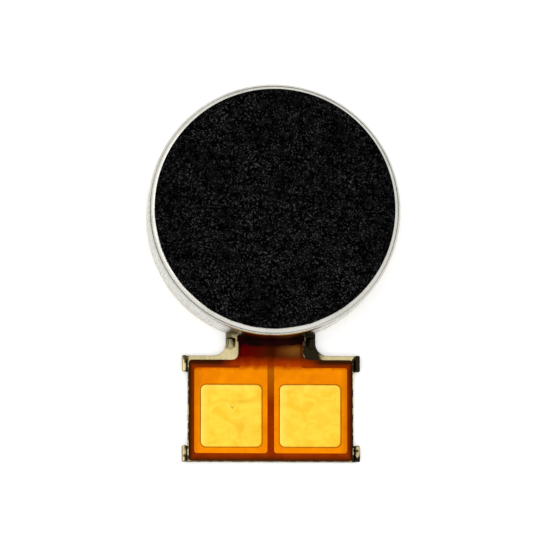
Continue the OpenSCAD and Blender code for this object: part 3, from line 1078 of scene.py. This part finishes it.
def slot_seal():
    """Resin that fills the slot around the circuit and runs out onto it in a low, uneven bead."""
    low, high = extent("slot_seal")
    film_top_z = cover_high.z
    half_strip = STRIP_W / 2
    front_y = -case_r - 0.02
    half = SLOT_W / 2 - 0.004
    steps, bead_steps = 54, 8
    bead_root, bead_h = 0.004, 0.068
    places = [half * (2 * k / steps - 1) for k in range(steps + 1)]
    places = sorted(places + [side * (half_strip + 0.002) for side in (LEFT, RIGHT)])
    bm = bmesh.new()
    rings = []
    for x in places:
        back_y = -math.sqrt(case_inner_r**2 - x**2)
        foot = sheet_t if abs(x) > half_strip else film_top_z
        crown = max(0.0, 1 - (x / half_strip) ** 6)
        reach = bead_root + (front_y - low.y) * crown * (0.72 + 0.28 * noise.noise(Vector((x * 2.5, 0, 0))))
        loop = [(back_y, foot), (front_y - reach, foot)]
        for k in range(bead_steps + 1):
            up = k / bead_steps
            loop.append((front_y - reach * (1 - up), film_top_z + bead_root + bead_h * up**1.7))
        loop += [(front_y + 0.01, high.z), (back_y, high.z)]
        rings.append([bm.verts.new((x, y, z)) for y, z in loop])
    capped(bm, rings)
    piece("slot_seal_bead", bm, ["resin"], "slot_seal")


# ---- Magnet and brushes ----


def chamfered_tube(name, node, inner_r, chamfer, look, body="stator"):
    """Sleeve or ring with chamfered edges, as tall and as wide as its CAD node."""
    low, high = extent(node)
    r = high.x
    inner, outer = inner_r + chamfer, r - chamfer
    lower, upper = low.z + chamfer, high.z - chamfer
    profile = [(inner, low.z), (outer, low.z), (r, lower), (r, upper)]
    profile += [(outer, high.z), (inner, high.z), (inner_r, upper), (inner_r, lower)]
    bm = bmesh.new()
    lathe(bm, profile)
    piece(name, bm, [look], node, body)


def magnet_bond():
    low, high = extent("magnet_adhesive")
    bm = bmesh.new()
    plate(bm, wavy_circle(high.x, 0.006, 1.5), [circle(MAGNET_INNER_R + 0.03)], low.z, high.z, 0.008)
    piece("magnet_bond", bm, ["tape"], "magnet_adhesive")


def brush(name, node):
    """Sprung leaf: flat foot, ramp up to the commutator, curled tip and a slit that forks it."""
    low, high = extent(node)
    foot_end_y = low.y + 0.6
    thick = 0.06
    knee_z = high.z
    tip_z = knee_z - 0.1
    end_r = 0.01
    ramp_r = 0.3
    edge = 0.008
    upper = [(low.y, low.z + thick, end_r), (foot_end_y, low.z + thick, ramp_r)]
    upper += [(1.05, knee_z, 0.12), (high.y, tip_z, end_r)]
    lower = [(high.y - 0.03, tip_z - thick, end_r), (1.04, knee_z - thick, 0.08)]
    lower += [(foot_end_y + 0.01, low.z, ramp_r), (low.y, low.z, end_r)]
    outline = rounded_loop(upper + lower, 5)
    rings = []
    bm = bmesh.new()
    for x, inset in ((low.x, edge), (low.x + edge, 0), (high.x - edge, 0), (high.x, edge)):
        rings.append([bm.verts.new((x, p.x, p.y)) for p in offset(outline, inset)])
    capped(bm, rings)
    middle = (low.x + high.x) / 2
    slit_low = (middle - BRUSH_SLIT_W / 2, BRUSH_SLIT_START_Y, low.z - 1)
    slit_high = (middle + BRUSH_SLIT_W / 2, high.y + 1, high.z + 1)
    forked = tidied(boolean(bm, box_solid(slit_low, slit_high), "DIFFERENCE"))
    piece(name, forked, ["brush"], node)


def brush_joints():
    """Solder that wets each land and stands a little higher under the brush's foot."""
    low, high = extent("brush_solder")
    bm = bmesh.new()
    grid = rounded_grid(LAND_W - 0.01, LAND_L - 0.01, 0.05, 0.03)
    for side in (LEFT, RIGHT):
        centre = (side * (high.x - LAND_W / 2), high.y - LAND_L / 2)

        def height(x, y, depth):
            ripple = 0.002 * (1 + noise.noise(Vector((x, y, side)) * 6))
            return high.z - 0.018 * max(0, 1 - depth / 0.09) ** 2 - ripple

        grid_pad(bm, grid, centre, low.z, height, (1,), upright)
    piece("brush_joints", bm, ["solder"], "brush_solder", sharp=50)


# ---- Rotor ----


def heavy_side(half_angle, r):
    """Arc around the rotor's heavy axis."""
    return arc(r, HEAVY_ANGLE - half_angle, HEAVY_ANGLE + half_angle)


def on_rotor(r, angle):
    """Point at a distance from the shaft and an angle from the rotor's heavy axis."""
    turn = math.radians(HEAVY_ANGLE + angle)
    return r * math.cos(turn), r * math.sin(turn)


def fan_corners(r, corner_r):
    """Corners along the fan's outer arc, the two at its ends rounded."""
    swing = heavy_side(FAN_HALF_ANGLE, r)
    return [(*swing[0], corner_r), *[(*p, 0) for p in swing[4:-4]], (*swing[-1], corner_r)]


def board():
    low, high = extent("rotor_board")
    hub = arc(BOARD_HUB_R, HEAVY_ANGLE + FAN_HALF_ANGLE, HEAVY_ANGLE - FAN_HALF_ANGLE + 360, 96)
    corners = fan_corners(high.x, 0.1) + [(*p, 0) for p in hub]
    bm = bmesh.new()
    plate(bm, rounded_loop(corners), [circle(extent("rotor_bearing")[1].x)], low.z, high.z, 0.015, 2)
    piece("rotor_laminate", bm, ["board"], "rotor_board", "rotor")


def commutator():
    """Ring of segments, parted by straight gaps."""
    low, high = extent("commutator")
    outer_r = high.x
    pitch = 360 / SEGMENTS
    bm = bmesh.new()
    for k in range(SEGMENTS):
        start = HEAVY_ANGLE + pitch * k
        edges = []
        for r in (outer_r, SEGMENT_INNER_R):
            gap = math.degrees(math.asin(SEGMENT_GAP / 2 / r))
            edges.append(arc(r, start + gap, start + pitch - gap, 24))
        plate(bm, edges[0] + edges[1][::-1], [], low.z, high.z, 0.006, 2)
    piece("commutator_ring", bm, ["gold"], "commutator", "rotor")


def coil_joints():
    """Domed solder dots on the board's underside."""
    low, high = extent("coil_solder")
    rim_h = 0.008
    dome_h = high.z - low.z - rim_h
    turns = [math.pi / 2 * k / 6 for k in range(7)]
    dome = [(SOLDER_DOT_R * math.sin(a), high.z - rim_h - dome_h * math.cos(a)) for a in turns]
    bm = bmesh.new()
    for angle in SOLDER_ANGLES:
        lathe(bm, dome + [(SOLDER_DOT_R, high.z), (0, high.z)], 28, on_rotor(SOLDER_RING_R, angle))
    piece("coil_joints", bm, ["solder"], "coil_solder", "rotor")


def coil(side, name, node):
    """Self-supporting coil: layers of round wire, whose turns show as ridges on every face."""
    low, high = extent(node)
    rows, columns = 15, 16
    ridge = 0.35
    wire_h = (high.z - low.z) / rows
    wire_w = (COIL_R - COIL_BORE_R) / columns
    bulge = [(ridge * math.sin(math.pi * k / 4), k / 4) for k in range(4)]
    profile = [(COIL_BORE_R, low.z), (COIL_R, low.z)]
    for row in range(rows):
        profile += [(COIL_R - wire_w * (ridge - b), low.z + wire_h * (row + t)) for b, t in bulge]
    for column in range(columns):
        across = [(ridge + 0.96 * (column + t), ridge - b) for b, t in bulge]
        profile += [(COIL_R - wire_w * inward, high.z - wire_h * down) for inward, down in across]
    for row in range(rows):
        profile += [(COIL_BORE_R + wire_w * (ridge - b), high.z - wire_h * (row + t)) for b, t in bulge]
    bm = bmesh.new()
    lathe(bm, profile, 96, on_rotor(COIL_REACH, -side * COIL_ANGLE))
    piece(name, bm, ["winding"], node, "rotor", sharp=75)


def weight_loop(shrink):
    """The weight's outline: two arcs, short straight ends and the hollows that clear the coils."""
    clear_r = COIL_R + WEIGHT_TO_COIL
    off_line = COIL_REACH * math.sin(math.radians(COIL_ANGLE - WEIGHT_HALF_ANGLE))
    along = COIL_REACH * math.cos(math.radians(COIL_ANGLE - WEIGHT_HALF_ANGLE))
    meet_r = along + math.sqrt(clear_r**2 - off_line**2)
    cosine = (COIL_REACH**2 + WEIGHT_INNER_R**2 - clear_r**2) / (2 * COIL_REACH * WEIGHT_INNER_R)
    inner_angle = COIL_ANGLE - math.degrees(math.acos(cosine))
    coil_at = turned([Vector((COIL_REACH, 0))], COIL_ANGLE)[0]
    end_places = ((meet_r, WEIGHT_HALF_ANGLE), (WEIGHT_INNER_R, inner_angle))
    ends = [turned([Vector((r, 0))], angle)[0] - coil_at for r, angle in end_places]
    angles = [math.degrees(math.atan2(end.y, end.x)) for end in ends]
    if angles[1] < angles[0] - 180:
        angles[1] += 360
    if angles[1] > angles[0] + 180:
        angles[1] -= 360
    hollow = arc(clear_r, angles[0], angles[1], 24, coil_at)
    other = [Vector((p.x, -p.y)) for p in hollow[::-1]]
    inner = arc(WEIGHT_INNER_R, inner_angle, -inner_angle, 32)[1:-1]
    outer = arc(WEIGHT_OUTER_R, -WEIGHT_HALF_ANGLE, WEIGHT_HALF_ANGLE, 72)
    return offset(turned(outer + hollow + inner + other, HEAVY_ANGLE), -shrink)


def counterweight():
    low, high = extent("counterweight")
    bm = bmesh.new()
    plate(bm, weight_loop(0.003), [], low.z, high.z, 0.035)
    piece("eccentric_weight", bm, ["tungsten"], "counterweight", "rotor")


def prism(loop, low_z, high_z):
    bm = bmesh.new()
    rings = [ring(bm, loop, z) for z in (low_z, high_z)]
    capped(bm, rings)
    return bm


def moulding():
    """Resin cast around the bearing, the coils and the weight, with a plug in each coil's bore."""
    low, high = extent("rotor_moulding")
    body = bmesh.new()
    plate(body, rounded_loop([(0, 0, 0)] + fan_corners(high.x, 0.1)), [], low.z, high.z, 0.03)
    sleeve_r = extent("rotor_bearing")[1].x
    centres = [on_rotor(COIL_REACH, -side * COIL_ANGLE) for side in (LEFT, RIGHT)]
    cutters = [circle(sleeve_r, steps=96), weight_loop(0)]
    cutters += [circle(COIL_R, centre, 96) for centre in centres]
    for loop in cutters:
        body = boolean(body, prism(loop, low.z - 0.5, high.z + 0.5), "DIFFERENCE")
    for x, y in centres:
        plate(body, circle(COIL_BORE_R - 0.004, (x, y), 48), [], low.z, high.z, 0.03)
    piece("rotor_casting", tidied(body), ["moulding"], "rotor_moulding", "rotor")


can()
foam_tape()
foam_cushion()
bracket()
shaft()
circuit_layer("circuit_adhesive", "tape", "fpc_adhesive", 0.02)
circuit_layer("base_film", "base_film", "fpc_base_film", 0.0)
conductor(LEFT, "conductor_left", "copper_left")
conductor(RIGHT, "conductor_right", "copper_right")
cover_film()
contact_pad(LEFT, "pad_left", "contact_pad_left", dent=(0.05, 0.30))
contact_pad(RIGHT, "pad_right", "contact_pad_right")
slot_seal()
magnet_bond()
chamfered_tube("magnet", "ring_magnet", MAGNET_INNER_R, 0.06, "magnet")
brush_joints()
brush("brush_spring_left", "brush_left")
brush("brush_spring_right", "brush_right")
bore_r = shaft_r + RUNNING_GAP
chamfered_tube("thrust_washer_lower", "lower_washer", bore_r, 0.012, "washer", "washer_below")
chamfered_tube("thrust_washer_upper", "upper_washer", bore_r, 0.012, "washer", "washer_above")
chamfered_tube("bearing_sleeve", "rotor_bearing", bore_r, 0.05, "bronze", "rotor")
board()
commutator()
coil_joints()
coil(LEFT, "winding_left", "coil_left")
coil(RIGHT, "winding_right", "coil_right")
counterweight()
moulding()


# ---- Floor, light and camera ----


def floor():
    """White paper that glows a little, just under the bracket."""
    glow = {"Emission Color": (1, 1, 1, 1), "Emission Strength": 0.22}
    look = Look("floor", {"Specular IOR Level": 0.2, **glow})
    look.colour(look.mix(look.drift(3, 3), (0.93, 0.93, 0.93), (0.90, 0.90, 0.90)), (0.92, 0.92, 0.92))
    look.roughness(look.drift(1, 3, 0.7, 0.85))
    bm = bmesh.new()
    bmesh.ops.create_grid(bm, x_segments=8, y_segments=8, size=0.6)
    mesh = mesh_of("floor", bm)
    mesh.materials.append(look.material)
    made = scene_object("floor", mesh)
    made.location.z = -2e-6


def world():
    """Pale dome with a dark horizon, which is less dark toward the picture's lower right and upper left."""
    made = bpy.data.worlds.new("studio")
    bpy.context.scene.world = made
    made.use_nodes = True
    nodes = Nodes(made.node_tree)
    place = nodes.new("ShaderNodeTexCoord").outputs["Generated"]
    split = nodes.new("ShaderNodeSeparateXYZ")
    nodes.feed(split.inputs["Vector"], place)
    toward = nodes.new("ShaderNodeVectorMath", operation="DOT_PRODUCT")
    toward.inputs[1].default_value = (0.71, -0.71, 0)
    nodes.feed(toward.inputs[0], place)
    diagonal = nodes.maths("ABSOLUTE", toward.outputs["Value"])
    horizon = nodes.remap(diagonal, 0.70, 0.98, 0.08, 0.55)
    dome = nodes.remap(split.outputs["Z"], 0.18, 0.50, horizon, 1.0, "SMOOTHSTEP")
    background = made.node_tree.nodes["Background"]
    nodes.feed(background.inputs["Color"], dome)
    background.inputs["Strength"].default_value = 1.25


def key_light():
    """Large softbox above the picture's upper left, aimed at the can."""
    place = Vector((-0.10, 0.04, 0.26))
    light = bpy.data.lights.new("key", "AREA")
    light.shape = "RECTANGLE"
    light.size, light.size_y = 0.16, 0.16
    light.energy = 0.065
    made = scene_object("key", light)
    made.location = place
    made.rotation_euler = (-place).to_track_quat("-Z", "Y").to_euler()


def camera():
    """Long lens almost straight above, leaning a little toward the tail and the left. +Y is up."""
    toward = Vector((-0.060, -0.101, 0.992)).normalized()
    target = Vector((0.187, -2.315, 0)) * MM
    distance = 0.145
    up = (Vector((0, 1, 0)) - toward * toward.y).normalized()
    right = up.cross(toward)
    data = bpy.data.cameras.new("camera")
    data.lens = 236
    data.clip_start = 0.001
    made = scene_object("camera", data)
    turn = Matrix((right, up, toward)).transposed().to_4x4()
    made.matrix_world = Matrix.Translation(target + toward * distance) @ turn
    bpy.context.scene.camera = made


floor()
world()
key_light()
camera()
bpy.context.scene.view_settings.view_transform = "Standard"
